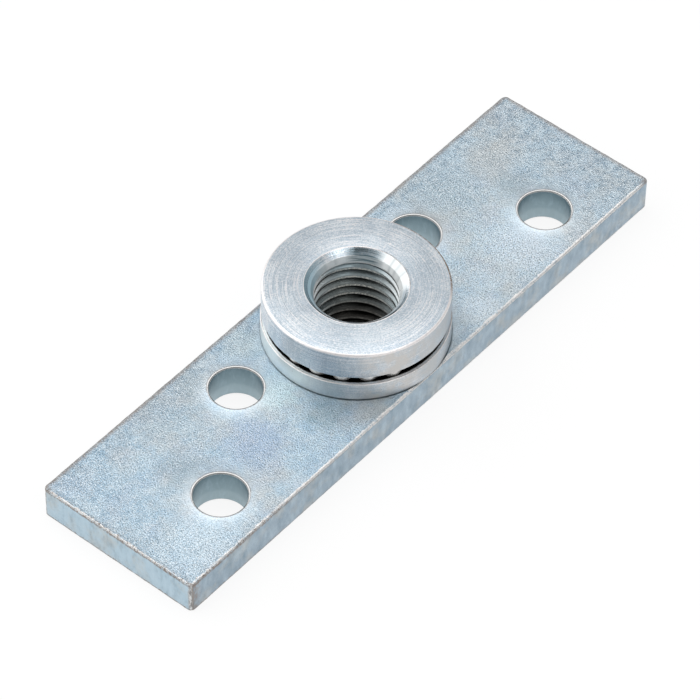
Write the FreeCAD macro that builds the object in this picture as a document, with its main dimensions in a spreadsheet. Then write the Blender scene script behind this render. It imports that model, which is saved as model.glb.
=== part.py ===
"""Swivel plate for a door trolley: a drilled flat bar that carries a threaded collar on a ball thrust bearing.

The frame has +X along the bar, +Z up along the swivel axis and its origin on that axis, at the bar's underside.
All sizes are millimetres and angles are degrees.
"""

import FreeCAD
import Part
import Sketcher

import math
import os

# Driving sizes: name, value, what it measures
SIZES = [
    ("plate_length", 119.0, "flat bar, cut length"),
    ("plate_width", 31.8, "flat bar, width"),
    ("plate_thickness", 6.5, "flat bar, thickness"),
    ("plate_edge_round", 0.4, "rolled and tumbled outer edges of the bar"),
    ("screw_hole_diameter", 9.0, "clearance for an M8 screw"),
    ("screw_hole_rim", 0.25, "deburred rim of each screw hole"),
    ("inner_hole_spacing", 46.0, "between the two inner screw holes"),
    ("inner_hole_offset", 6.4, "inner screw holes, from the centreline towards +Y"),
    ("outer_hole_spacing", 84.0, "between the two outer screw holes"),
    ("outer_hole_offset", 6.8, "outer screw holes, from the centreline towards -Y"),
    ("race_overhang", 0.05, "lower race past the bar's long edges, each side"),
    ("race_height", 3.7, "lower race, height"),
    ("ring_gap", 1.45, "open gap between the lower race and the collar's flange"),
    ("collar_inset", 0.15, "collar's flange inside the lower race's edge, each side"),
    ("collar_height", 5.4, "collar's flange, height"),
    ("ring_edge_break", 0.3, "turned edge break on the race and the flange"),
    ("neck_diameter", 20.0, "collar's neck, which passes through the race and the plate"),
    ("neck_clearance", 0.08, "round the neck, each side"),
    ("thread_minor_diameter", 14.1, "M16 x 2 tapping bore"),
    ("mouth_flare", 1.15, "countersink at the collar's top face, radial width"),
    ("mouth_depth", 1.0, "countersink, depth"),
    ("lead_flare", 0.55, "steep lead-in below the countersink, radial width"),
    ("lead_depth", 1.4, "steep lead-in, depth"),
    ("bore_exit_chamfer", 0.1, "edge break at the bore's lower end"),
    ("ball_diameter", 3.969, "5/32 inch bearing ball"),
    ("ball_inset", 2.65, "from the lower race's edge to the ball centres"),
    ("ball_spacing", 0.0225, "between neighbouring balls; what is left of the turn stays open"),
    ("first_ball_angle", -83.0, "first ball, counted from +X towards +Y"),
    ("ball_clearance", 0.02, "between a ball and the floor of each groove"),
    ("groove_ratio", 0.52, "groove radius as a share of the ball diameter"),
    ("recess_clearance", 0.5, "round the washer in the plate's underside, each side"),
    ("recess_depth", 2.6, "recess in the plate's underside, depth"),
    ("washer_diameter", 25.0, "retaining washer, outside"),
    ("washer_thickness", 1.2, "retaining washer"),
    ("washer_clearance", 0.05, "washer hole round the spigot, each side"),
    ("end_play", 0.15, "between the washer and the floor of the recess"),
    ("spigot_step", 0.8, "shoulder between the neck and the spigot that carries the washer"),
    ("lip_overhang", 1.2, "end of the spigot, peened over the washer"),
    ("lip_thickness", 1.1, "peened lip, which ends just inside the underside"),
    ("lip_round", 0.35, "rounded outer edge of the peened lip"),
]
FULL_TURN = 360.0

# Heights above the plate's underside, as expressions on the driving sizes
PLATE_TOP = "Sizes.plate_thickness"
RACE_TOP = PLATE_TOP + " + Sizes.race_height"
FLANGE_FOOT = RACE_TOP + " + Sizes.ring_gap"
COLLAR_TOP = FLANGE_FOOT + " + Sizes.collar_height"
MOUTH_FOOT = COLLAR_TOP + " - Sizes.mouth_depth"
LEAD_FOOT = MOUTH_FOOT + " - Sizes.lead_depth"
NECK_SHOULDER = "Sizes.recess_depth - Sizes.end_play"
WASHER_FOOT = NECK_SHOULDER + " - Sizes.washer_thickness"
LIP_FOOT = WASHER_FOOT + " - Sizes.lip_thickness"
BORE_EXIT = LIP_FOOT + " + Sizes.bore_exit_chamfer"
BALL_CENTRE = RACE_TOP + " + Sizes.ring_gap / 2"

# Radii about the swivel axis
RACE_RADIUS = "(Sizes.plate_width / 2 + Sizes.race_overhang)"
COLLAR_RADIUS = "(" + RACE_RADIUS + " - Sizes.collar_inset)"
BALL_CIRCLE_RADIUS = "(" + RACE_RADIUS + " - Sizes.ball_inset)"
BORE_RADIUS = "Sizes.thread_minor_diameter / 2"
LEAD_RADIUS = BORE_RADIUS + " + Sizes.lead_flare"
MOUTH_RADIUS = LEAD_RADIUS + " + Sizes.mouth_flare"
BORE_EXIT_RADIUS = BORE_RADIUS + " + Sizes.bore_exit_chamfer"
NECK_RADIUS = "Sizes.neck_diameter / 2"
NECK_HOLE_RADIUS = NECK_RADIUS + " + Sizes.neck_clearance"
SPIGOT_RADIUS = NECK_RADIUS + " - Sizes.spigot_step"
LIP_RADIUS = SPIGOT_RADIUS + " + Sizes.lip_overhang"
WASHER_HOLE_RADIUS = SPIGOT_RADIUS + " + Sizes.washer_clearance"
WASHER_RADIUS = "Sizes.washer_diameter / 2"
RECESS_RADIUS = WASHER_RADIUS + " + Sizes.recess_clearance"
GROOVE_RADIUS = "Sizes.groove_ratio * Sizes.ball_diameter"
# The groove's centre lies off the ball's centre by what its larger radius and the clearance leave
GROOVE_RISE = "(" + GROOVE_RADIUS + " - Sizes.ball_diameter / 2 - Sizes.ball_clearance)"
# Half the chord between neighbouring ball centres, as a share of the ball circle's radius
BALL_HALF_CHORD = "(Sizes.ball_diameter + Sizes.ball_spacing) / 2 / " + BALL_CIRCLE_RADIUS
BALL_PITCH_ANGLE = "2 * asin(" + BALL_HALF_CHORD + ")"

ORIGIN_POINT = (-1, 1)
START, END, CENTRE = 1, 2, 3
SAME_HEIGHT = 1e-4


def size_sheet(doc):
    """Spreadsheet with one row for each driving size."""
    sheet = doc.addObject("Spreadsheet::Sheet", "Sizes")
    for row, (name, value, meaning) in enumerate(SIZES, start=1):
        sheet.set(f"A{row}", name)
        sheet.set(f"B{row}", str(value))
        sheet.set(f"C{row}", meaning)
        sheet.setAlias(f"B{row}", name)
    doc.recompute()
    return sheet


def new_body(doc, label):
    """Empty body with its own label."""
    body = doc.addObject("PartDesign::Body", label)
    body.Label = label
    return body


def new_sketch(body, name, plane):
    """Sketch on one of the body's own origin planes."""
    sketch = body.newObject("Sketcher::SketchObject", name)
    support = [feature for feature in body.Origin.OriginFeatures if feature.Role == plane][0]
    sketch.AttachmentSupport = (support, [""])
    sketch.MapMode = "FlatFace"
    return sketch


def bind(sketch, kind, geometry, expression):
    """Add one dimension to a sketch and drive it by an expression on the sheet."""
    index = sketch.addConstraint(Sketcher.Constraint(kind, *geometry, 1.0))
    sketch.setExpression(f"Constraints[{index}]", expression)
    return index


def turned_profile(body, name, corners):
    """Closed outline on the XZ plane, one (radius, height) pair of expressions for each corner."""
    sketch = new_sketch(body, name, "XZ_Plane")
    count = len(corners)
    rough = [FreeCAD.Vector(10 + k, 10 + (k * k) % count, 0) for k in range(count)]
    for k in range(count):
        sketch.addGeometry(Part.LineSegment(rough[k], rough[(k + 1) % count]), False)
    for k in range(count):
        sketch.addConstraint(Sketcher.Constraint("Coincident", k, END, (k + 1) % count, START))
    for k, (radius, height) in enumerate(corners):
        bind(sketch, "DistanceX", (*ORIGIN_POINT, k, START), radius)
        bind(sketch, "DistanceY", (*ORIGIN_POINT, k, START), height)
    return sketch


def revolve(body, name, sketch):
    """Solid of revolution of a sketch about the swivel axis."""
    feature = body.newObject("PartDesign::Revolution", name)
    feature.Profile = sketch
    feature.ReferenceAxis = (sketch, ["V_Axis"])
    feature.Angle = FULL_TURN
    sketch.Visibility = False
    return feature


def cut_ball_groove(body, name, centre_height):
    """Ball groove round the swivel axis, with its circular section centred at the given height."""
    sketch = new_sketch(body, name + "_section", "XZ_Plane")
    circle = Part.Circle(FreeCAD.Vector(13, 11, 0), FreeCAD.Vector(0, 0, 1), 2)
    sketch.addGeometry(circle, False)
    bind(sketch, "DistanceX", (*ORIGIN_POINT, 0, CENTRE), BALL_CIRCLE_RADIUS)
    bind(sketch, "DistanceY", (*ORIGIN_POINT, 0, CENTRE), centre_height)
    bind(sketch, "Radius", (0,), GROOVE_RADIUS)
    groove = body.newObject("PartDesign::Groove", name)
    groove.Profile = sketch
    groove.ReferenceAxis = (sketch, ["V_Axis"])
    groove.Angle = FULL_TURN
    return groove


def value_of(sheet, expression):
    """Number that an expression on the driving sizes comes to."""
    return float(sheet.evalExpression(expression))


def circles_at(shape, radius, height):
    """Names of the circular edges of that radius that lie at that height, about any vertical axis."""
    names = []
    for index, edge in enumerate(shape.Edges, start=1):
        if edge.Degenerated or not isinstance(edge.Curve, Part.Circle):
            continue
        level = abs(edge.Curve.Center.z - height) < SAME_HEIGHT
        if level and abs(edge.Curve.Radius - radius) < SAME_HEIGHT:
            names.append(f"Edge{index}")
    return names


def break_edges(body, name, kind, base, edges, size):
    """Chamfer or fillet on named edges of the base feature, sized from the sheet."""
    feature = body.newObject("PartDesign::" + kind, name)
    feature.Base = (base, edges)
    feature.setExpression("Size" if kind == "Chamfer" else "Radius", size)
    body.Document.recompute()
    return feature


def add_pocket(body, name, sketch, depth=None):
    """Pocket from the plate's underside upwards, through the plate where no depth is given."""
    pocket = body.newObject("PartDesign::Pocket", name)
    pocket.Profile = sketch
    pocket.Reversed = True
    if depth is None:
        pocket.Type = "ThroughAll"
    else:
        pocket.setExpression("Length", depth)
    sketch.Visibility = False
    body.Document.recompute()
    return pocket


def add_circle(sketch, diameter):
    """Circle on the sketch's origin with its diameter driven by the sheet."""
    index = sketch.addGeometry(Part.Circle(FreeCAD.Vector(0, 0, 0), FreeCAD.Vector(0, 0, 1), 5), False)
    sketch.addConstraint(Sketcher.Constraint("Coincident", index, CENTRE, *ORIGIN_POINT))
    bind(sketch, "Diameter", (index,), diameter)
    return index


def plate_blank(body):
    """Flat bar, cut to length, with rounded edges."""
    sketch = new_sketch(body, "bar_outline", "XY_Plane")
    corners = [(-50, -10), (50, -10), (50, 10), (-50, 10)]
    for k in range(4):
        ends = [FreeCAD.Vector(*corners[j % 4], 0) for j in (k, k + 1)]
        sketch.addGeometry(Part.LineSegment(*ends), False)
    for k in range(4):
        sketch.addConstraint(Sketcher.Constraint("Coincident", k, END, (k + 1) % 4, START))
        sketch.addConstraint(Sketcher.Constraint("Horizontal" if k % 2 == 0 else "Vertical", k))
    sketch.addConstraint(Sketcher.Constraint("Symmetric", 0, START, 2, START, *ORIGIN_POINT))
    bind(sketch, "DistanceX", (0, START, 0, END), "Sizes.plate_length")
    bind(sketch, "DistanceY", (1, START, 1, END), "Sizes.plate_width")
    pad = body.newObject("PartDesign::Pad", "bar")
    pad.Profile = sketch
    pad.setExpression("Length", "Sizes.plate_thickness")
    sketch.Visibility = False
    body.Document.recompute()
    edges = [f"Edge{index}" for index in range(1, len(pad.Shape.Edges) + 1)]
    return break_edges(body, "bar_edges", "Fillet", pad, edges, "Sizes.plate_edge_round")


def screw_hole_sketch(body):
    """Four staggered screw holes: the inner pair towards +Y, the outer pair towards -Y."""
    sketch = new_sketch(body, "screw_hole_centres", "XY_Plane")
    places = [
        (-23, 6, "Sizes.inner_hole_spacing", "Sizes.inner_hole_offset"),
        (23, 6, "Sizes.inner_hole_spacing", "Sizes.inner_hole_offset"),
        (-42, -6, "Sizes.outer_hole_spacing", "Sizes.outer_hole_offset"),
        (42, -6, "Sizes.outer_hole_spacing", "Sizes.outer_hole_offset"),
    ]
    for index, (x, y, spacing, offset) in enumerate(places):
        sketch.addGeometry(Part.Circle(FreeCAD.Vector(x, y, 0), FreeCAD.Vector(0, 0, 1), 4), False)
        centre = (index, CENTRE)
        along = (*centre, *ORIGIN_POINT) if x < 0 else (*ORIGIN_POINT, *centre)
        across = (*centre, *ORIGIN_POINT) if y < 0 else (*ORIGIN_POINT, *centre)
        bind(sketch, "DistanceX", along, spacing + " / 2")
        bind(sketch, "DistanceY", across, offset)
        bind(sketch, "Diameter", (index,), "Sizes.screw_hole_diameter")
    return sketch


def mounting_plate(doc, sheet):
    """Flat bar with four screw holes, the neck's bore and a recess for the washer below."""
    body = new_body(doc, "mounting_plate")
    plate_blank(body)
    holes = add_pocket(body, "screw_holes", screw_hole_sketch(body))
    radius = sheet.screw_hole_diameter / 2
    rims = []
    for height in (0, sheet.plate_thickness):
        rims += circles_at(holes.Shape, radius, height)
    break_edges(body, "screw_hole_rims", "Chamfer", holes, rims, "Sizes.screw_hole_rim")

    bore = new_sketch(body, "neck_bore_outline", "XY_Plane")
    add_circle(bore, "2 * (" + NECK_HOLE_RADIUS + ")")
    add_pocket(body, "neck_bore", bore)
    recess = new_sketch(body, "washer_recess_outline", "XY_Plane")
    add_circle(recess, "2 * (" + RECESS_RADIUS + ")")
    add_pocket(body, "washer_recess", recess, "Sizes.recess_depth")
    return body


def lower_race(doc, sheet):
    """Bearing ring that rests on the plate, with a ball groove in its top face."""
    body = new_body(doc, "lower_race")
    corners = [
        (NECK_HOLE_RADIUS, PLATE_TOP),
        (RACE_RADIUS, PLATE_TOP),
        (RACE_RADIUS, RACE_TOP),
        (NECK_HOLE_RADIUS, RACE_TOP),
    ]
    ring = revolve(body, "race_ring", turned_profile(body, "race_section", corners))
    doc.recompute()
    outside = value_of(sheet, RACE_RADIUS)
    rims = circles_at(ring.Shape, outside, value_of(sheet, RACE_TOP))
    rims += circles_at(ring.Shape, outside, value_of(sheet, PLATE_TOP))
    break_edges(body, "race_edges", "Chamfer", ring, rims, "Sizes.ring_edge_break / 2")
    cut_ball_groove(body, "race_groove", BALL_CENTRE + " + " + GROOVE_RISE)
    return body


def swivel_collar(doc, sheet):
    """Flanged nut: upper ball groove, threaded bore, neck through the plate, and a lip peened over the washer."""
    body = new_body(doc, "swivel_collar")
    corners = [
        (BORE_RADIUS, BORE_EXIT),
        (BORE_EXIT_RADIUS, LIP_FOOT),
        (LIP_RADIUS, LIP_FOOT),
        (LIP_RADIUS, WASHER_FOOT),
        (SPIGOT_RADIUS, WASHER_FOOT),
        (SPIGOT_RADIUS, NECK_SHOULDER),
        (NECK_RADIUS, NECK_SHOULDER),
        (NECK_RADIUS, FLANGE_FOOT),
        (COLLAR_RADIUS, FLANGE_FOOT),
        (COLLAR_RADIUS, COLLAR_TOP),
        (MOUTH_RADIUS, COLLAR_TOP),
        (LEAD_RADIUS, MOUTH_FOOT),
        (BORE_RADIUS, LEAD_FOOT),
    ]
    turned = revolve(body, "collar_turned", turned_profile(body, "collar_section", corners))
    doc.recompute()
    outside = value_of(sheet, COLLAR_RADIUS)
    top_rim = circles_at(turned.Shape, outside, value_of(sheet, COLLAR_TOP))
    rounded = break_edges(body, "collar_top_edge", "Fillet", turned, top_rim, "Sizes.ring_edge_break")
    foot_rim = circles_at(rounded.Shape, outside, value_of(sheet, FLANGE_FOOT))
    eased = break_edges(body, "collar_foot_edge", "Chamfer", rounded, foot_rim, "Sizes.ring_edge_break / 2")
    lip_rim = circles_at(eased.Shape, value_of(sheet, LIP_RADIUS), value_of(sheet, LIP_FOOT))
    break_edges(body, "peened_lip", "Fillet", eased, lip_rim, "Sizes.lip_round")
    cut_ball_groove(body, "collar_groove", BALL_CENTRE + " - " + GROOVE_RISE)
    return body


def retaining_washer(doc):
    """Flat washer in the plate's recess, held on the neck's spigot by the peened lip."""
    body = new_body(doc, "retaining_washer")
    corners = [
        (WASHER_HOLE_RADIUS, WASHER_FOOT),
        (WASHER_RADIUS, WASHER_FOOT),
        (WASHER_RADIUS, NECK_SHOULDER),
        (WASHER_HOLE_RADIUS, NECK_SHOULDER),
    ]
    revolve(body, "washer_ring", turned_profile(body, "washer_section", corners))
    return body


def bearing_ball(doc, number):
    """Loose ball between the two grooves, at its place round the swivel axis."""
    label = f"ball_{number:02d}"
    ball = doc.addObject("Part::Sphere", label)
    ball.Label = label
    turn = f"(Sizes.first_ball_angle * 1 deg + {number - 1} * {BALL_PITCH_ANGLE})"
    ball.setExpression("Radius", "Sizes.ball_diameter / 2")
    ball.setExpression("Placement.Base.x", f"{BALL_CIRCLE_RADIUS} * cos({turn})")
    ball.setExpression("Placement.Base.y", f"{BALL_CIRCLE_RADIUS} * sin({turn})")
    ball.setExpression("Placement.Base.z", BALL_CENTRE)
    return ball


def check_and_write(doc, parts):
    """Stop on any failed object or bad shape, then write one STEP file for each sub-part."""
    failed = [item.Label for item in doc.Objects if {"Invalid", "Error"} & set(item.State)]
    if failed:
        raise RuntimeError(f"failed objects: {failed}")
    for part in parts:
        if part.Shape.isNull() or not part.Shape.isValid():
            raise RuntimeError(f"bad shape: {part.Label}")
    os.makedirs("parts", exist_ok=True)
    for part in parts:
        part.Shape.exportStep(os.path.join("parts", part.Label + ".step"))
        print(f"{part.Label}: {part.Shape.Volume:.1f} mm3")


def main():
    """Build every sub-part from the sheet and write it out."""
    doc = FreeCAD.newDocument("swivel_plate")
    sheet = size_sheet(doc)
    parts = [
        mounting_plate(doc, sheet),
        lower_race(doc, sheet),
        swivel_collar(doc, sheet),
        retaining_washer(doc),
    ]
    # As many balls as the circle holds
    half_pitch = math.asin(value_of(sheet, BALL_HALF_CHORD))
    ball_count = int(math.pi / half_pitch)
    parts += [bearing_ball(doc, number) for number in range(1, ball_count + 1)]
    doc.recompute()
    check_and_write(doc, parts)


main()
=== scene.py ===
"""Dressed model of a door trolley's swivel plate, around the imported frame.

Lengths in the classes are millimetres, as on a workshop drawing, and turn into metres when a mesh is made.
"""

import logging
import math
from dataclasses import dataclass, field
from enum import Enum
from functools import reduce
from typing import Callable, Iterable, Optional, Sequence, Union

import bmesh
import bpy
from mathutils import Matrix, Vector, noise


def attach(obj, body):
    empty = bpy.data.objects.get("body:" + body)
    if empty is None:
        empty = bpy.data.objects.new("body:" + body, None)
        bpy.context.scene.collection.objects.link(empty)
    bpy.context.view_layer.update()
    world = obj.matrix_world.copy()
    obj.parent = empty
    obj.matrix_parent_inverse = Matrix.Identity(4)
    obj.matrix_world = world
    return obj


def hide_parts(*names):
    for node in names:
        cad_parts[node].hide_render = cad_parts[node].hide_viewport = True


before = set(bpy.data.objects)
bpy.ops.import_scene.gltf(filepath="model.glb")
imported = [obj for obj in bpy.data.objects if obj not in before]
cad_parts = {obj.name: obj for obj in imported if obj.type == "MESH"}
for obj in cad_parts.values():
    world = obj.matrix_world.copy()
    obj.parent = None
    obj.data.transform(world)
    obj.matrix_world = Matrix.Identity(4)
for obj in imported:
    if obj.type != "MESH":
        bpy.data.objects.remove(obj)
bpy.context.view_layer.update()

LOG = logging.getLogger("swivel_plate")

MM = 0.001
# In millimetres: points closer than WELD are one point, and a length under SPECK counts as none
WELD = 0.002
SPECK = 0.0005

Colour = tuple[float, float, float]
Direction = tuple[float, float, float]
Spot = tuple[float, float]
Profile = list[tuple[float, float]]
Loop = list[bmesh.types.BMVert]
Value = Union[bpy.types.NodeSocket, float, int, tuple]


class Body(Enum):
    """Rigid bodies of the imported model."""

    PLATE = "plate"
    COLLAR = "collar"
    BALLS = "ball_set"


class Slot(Enum):
    """Material slots of the record."""

    PLATE = "plate_zinc"
    TURNED = "turned_zinc"
    WASHER = "washer_zinc"
    BALL = "bearing_steel"


class Nodes:
    """Adds nodes to one node tree and wires them."""

    def __init__(self, tree: bpy.types.NodeTree) -> None:
        """Starts from an empty tree."""
        self.tree = tree
        tree.nodes.clear()

    def add(self, kind: str, inputs: Optional[dict] = None, **settings: object) -> bpy.types.Node:
        """Adds one node.

        Args:
            kind: The node's type name.
            inputs: Socket name or index to a value or to another node's output.
            settings: Attributes of the node.

        Returns:
            The new node.
        """
        node = self.tree.nodes.new(kind)
        for name, value in settings.items():
            setattr(node, name, value)
        for key, value in (inputs or {}).items():
            self.feed(node.inputs[key], value)
        return node

    def feed(self, socket: bpy.types.NodeSocket, value: Value) -> None:
        """Links an output to the socket, or sets the socket's own value.

        Args:
            socket: Input of a node.
            value: Output of another node, or a constant.
        """
        if isinstance(value, bpy.types.NodeSocket):
            self.tree.links.new(value, socket)
        else:
            socket.default_value = value

    def math(self, operation: str, *values: Value, clamp: bool = False) -> bpy.types.NodeSocket:
        """Result of one Math node."""
        node = self.add("ShaderNodeMath", dict(enumerate(values)), operation=operation, use_clamp=clamp)
        return node.outputs[0]

    def chain(self, operation: str, values: Iterable[Value]) -> bpy.types.NodeSocket:
        """Result of Math nodes that take the values one after the other."""
        return reduce(lambda so_far, value: self.math(operation, so_far, value), values)

    def times(self, *values: Value) -> bpy.types.NodeSocket:
        """Product of the values."""
        return self.chain("MULTIPLY", values)

    def plus(self, *values: Value) -> bpy.types.NodeSocket:
        """Sum of the values."""
        return self.chain("ADD", values)

    def most(self, *values: Value) -> bpy.types.NodeSocket:
        """Greatest of the values."""
        return self.chain("MAXIMUM", values)

    def least(self, *values: Value) -> bpy.types.NodeSocket:
        """Smallest of the values."""
        return self.chain("MINIMUM", values)

    def minus(self, first: Value, second: Value) -> bpy.types.NodeSocket:
        """First value less the second."""
        return self.math("SUBTRACT", first, second)

    def share(self, first: Value, second: Value, clamp: bool = False) -> bpy.types.NodeSocket:
        """First value divided by the second."""
        return self.math("DIVIDE", first, second, clamp=clamp)

    def size_of(self, value: Value) -> bpy.types.NodeSocket:
        """Value without its sign."""
        return self.math("ABSOLUTE", value)

    def apart(self, first: Value, second: Value) -> bpy.types.NodeSocket:
        """How far two values are apart."""
        return self.size_of(self.minus(first, second))

    def vector(self, operation: str, *values: Value) -> bpy.types.NodeSocket:
        """Vector result of one Vector Math node."""
        node = self.add("ShaderNodeVectorMath", dict(enumerate(values)), operation=operation)
        return node.outputs[0]

    def dot(self, first: Value, second: Value) -> bpy.types.NodeSocket:
        """Dot product of two vectors."""
        return self.add("ShaderNodeVectorMath", {0: first, 1: second}, operation="DOT_PRODUCT").outputs[1]

    def length(self, value: Value) -> bpy.types.NodeSocket:
        """Length of a vector."""
        return self.add("ShaderNodeVectorMath", {0: value}, operation="LENGTH").outputs[1]

    def remap(self, value: Value, low: float, high: float, to: tuple[float, float] = (0.0, 1.0),
              smooth: bool = False) -> bpy.types.NodeSocket:
        """Clamped straight or smooth step between two limits.

        Args:
            value: What is mapped.
            low: Value that gives the first result.
            high: Value that gives the second result.
            to: The two results.
            smooth: Whether the step is smooth.

        Returns:
            The mapped value.
        """
        kind = "SMOOTHSTEP" if smooth else "LINEAR"
        inputs = {0: value, 1: low, 2: high, 3: to[0], 4: to[1]}
        return self.add("ShaderNodeMapRange", inputs, interpolation_type=kind).outputs[0]


class Shader(Nodes):
    """Node tree of one material, with the pieces that metal finishes share."""

    def __init__(self, name: str) -> None:
        """Makes the material and its coordinates in millimetres.

        Args:
            name: Name of the material.
        """
        self.material = bpy.data.materials.new(name)
        self.material.use_nodes = True
        super().__init__(self.material.node_tree)
        place = self.add("ShaderNodeTexCoord").outputs["Object"]
        self.place = self.vector("MULTIPLY", place, (1 / MM, 1 / MM, 1 / MM))
        self.x, self.y, self.z = self.add("ShaderNodeSeparateXYZ", {0: self.place}).outputs

    def noise(self, scale: float, detail: float = 2.0, rough: float = 0.5, at: Optional[Value] = None,
              distortion: float = 0.0) -> bpy.types.NodeSocket:
        """Noise value.

        Args:
            scale: Features in each millimetre.
            detail: Octaves.
            rough: Strength of the finer octaves.
            at: Coordinates, the piece's own if left out.
            distortion: How far the pattern is warped.

        Returns:
            The noise, about 0.5 on average.
        """
        inputs = {"Vector": self.place if at is None else at, "Scale": scale, "Detail": detail,
                  "Roughness": rough, "Distortion": distortion}
        return self.add("ShaderNodeTexNoise", inputs).outputs[0]

    def stretched(self, along: tuple[float, float, float]) -> bpy.types.NodeSocket:
        """Coordinates multiplied by a factor on each axis."""
        return self.vector("MULTIPLY", self.place, along)

    def blend(self, share: Value, first: Value, second: Value, kind: str = "MIX") -> bpy.types.NodeSocket:
        """Mix of two colours.

        Args:
            share: Share of the second colour.
            first: Colour or output.
            second: Colour or output.
            kind: Blend type.

        Returns:
            The mixed colour.
        """
        def full(colour: Value) -> Value:
            """Colour with its alpha."""
            return (*colour, 1.0) if isinstance(colour, tuple) and len(colour) == 3 else colour

        node = self.add("ShaderNodeMix", data_type="RGBA", blend_type=kind, clamp_factor=True)
        self.feed(node.inputs["Factor"], share)
        self.feed(node.inputs[6], full(first))
        self.feed(node.inputs[7], full(second))
        return node.outputs[2]

    def lay(self, layer: Value, colour: Value, value: Value, none: float, full: float, share: float = 1.0,
            within: Optional[Value] = None) -> bpy.types.NodeSocket:
        """Lays one colour over another where a value says so.

        Args:
            layer: Colour on top.
            colour: Colour so far.
            value: What decides where the layer lies.
            none: Value at which the layer ends.
            full: Value from which it lies in full.
            share: Share of the layer where it lies in full.
            within: Mask that the layer keeps to.

        Returns:
            The colour with the layer.
        """
        cover = self.remap(value, none, full, (0.0, share))
        return self.blend(cover if within is None else self.times(cover, within), colour, layer)

    def polar(self, centre: Spot = (0.0, 0.0)) -> tuple[bpy.types.NodeSocket, bpy.types.NodeSocket]:
        """Polar place about a vertical axis.

        Args:
            centre: Where the axis stands.

        Returns:
            The radius, and the direction from the axis as a unit vector.
        """
        flat = self.vector("SUBTRACT", self.stretched((1.0, 1.0, 0.0)), (*centre, 0.0))
        return self.length(flat), self.vector("NORMALIZE", flat)

    def bump(self, height: Value) -> bpy.types.NodeSocket:
        """Normal from a relief in millimetres."""
        return self.add("ShaderNodeBump", {"Height": height, "Strength": 1.0, "Distance": MM}).outputs[0]

    def metal(self, colour: Value, roughness: Value, normal: Value, stretch: float = 0.0,
              across: Optional[Value] = None, metallic: Value = 1.0) -> bpy.types.Material:
        """Closes the tree with a metal surface.

        Args:
            colour: Colour of the metal.
            roughness: Roughness.
            normal: Shading normal.
            stretch: How far the gloss is drawn out.
            across: Direction in which it is drawn out, across the turning marks.
            metallic: Share of metal, less where the surface is rough and bare.

        Returns:
            The finished material.
        """
        surface = self.add("ShaderNodeBsdfPrincipled", {"Base Color": colour, "Roughness": roughness,
                                                        "Normal": normal, "Metallic": metallic, "Anisotropic": stretch})
        if across is not None:
            self.feed(surface.inputs["Tangent"], across)
        self.add("ShaderNodeOutputMaterial", {"Surface": surface.outputs[0]})
        return self.material


@dataclass(frozen=True)
class Stain:
    """Soft discoloured patch on the bar's top: its place and reach in millimetres."""

    x: float
    y: float
    reach: float
    colour: Colour
    share: float


@dataclass(frozen=True)
class BarPlace:
    """Where a point of the bar lies: lengths in millimetres, shares from 0 to 1."""

    level: Value
    ends: Value
    sides: Value
    nearest: Value
    past: Value
    face: Value
    far: Value
    grain: Value
    fleck: Value


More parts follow.
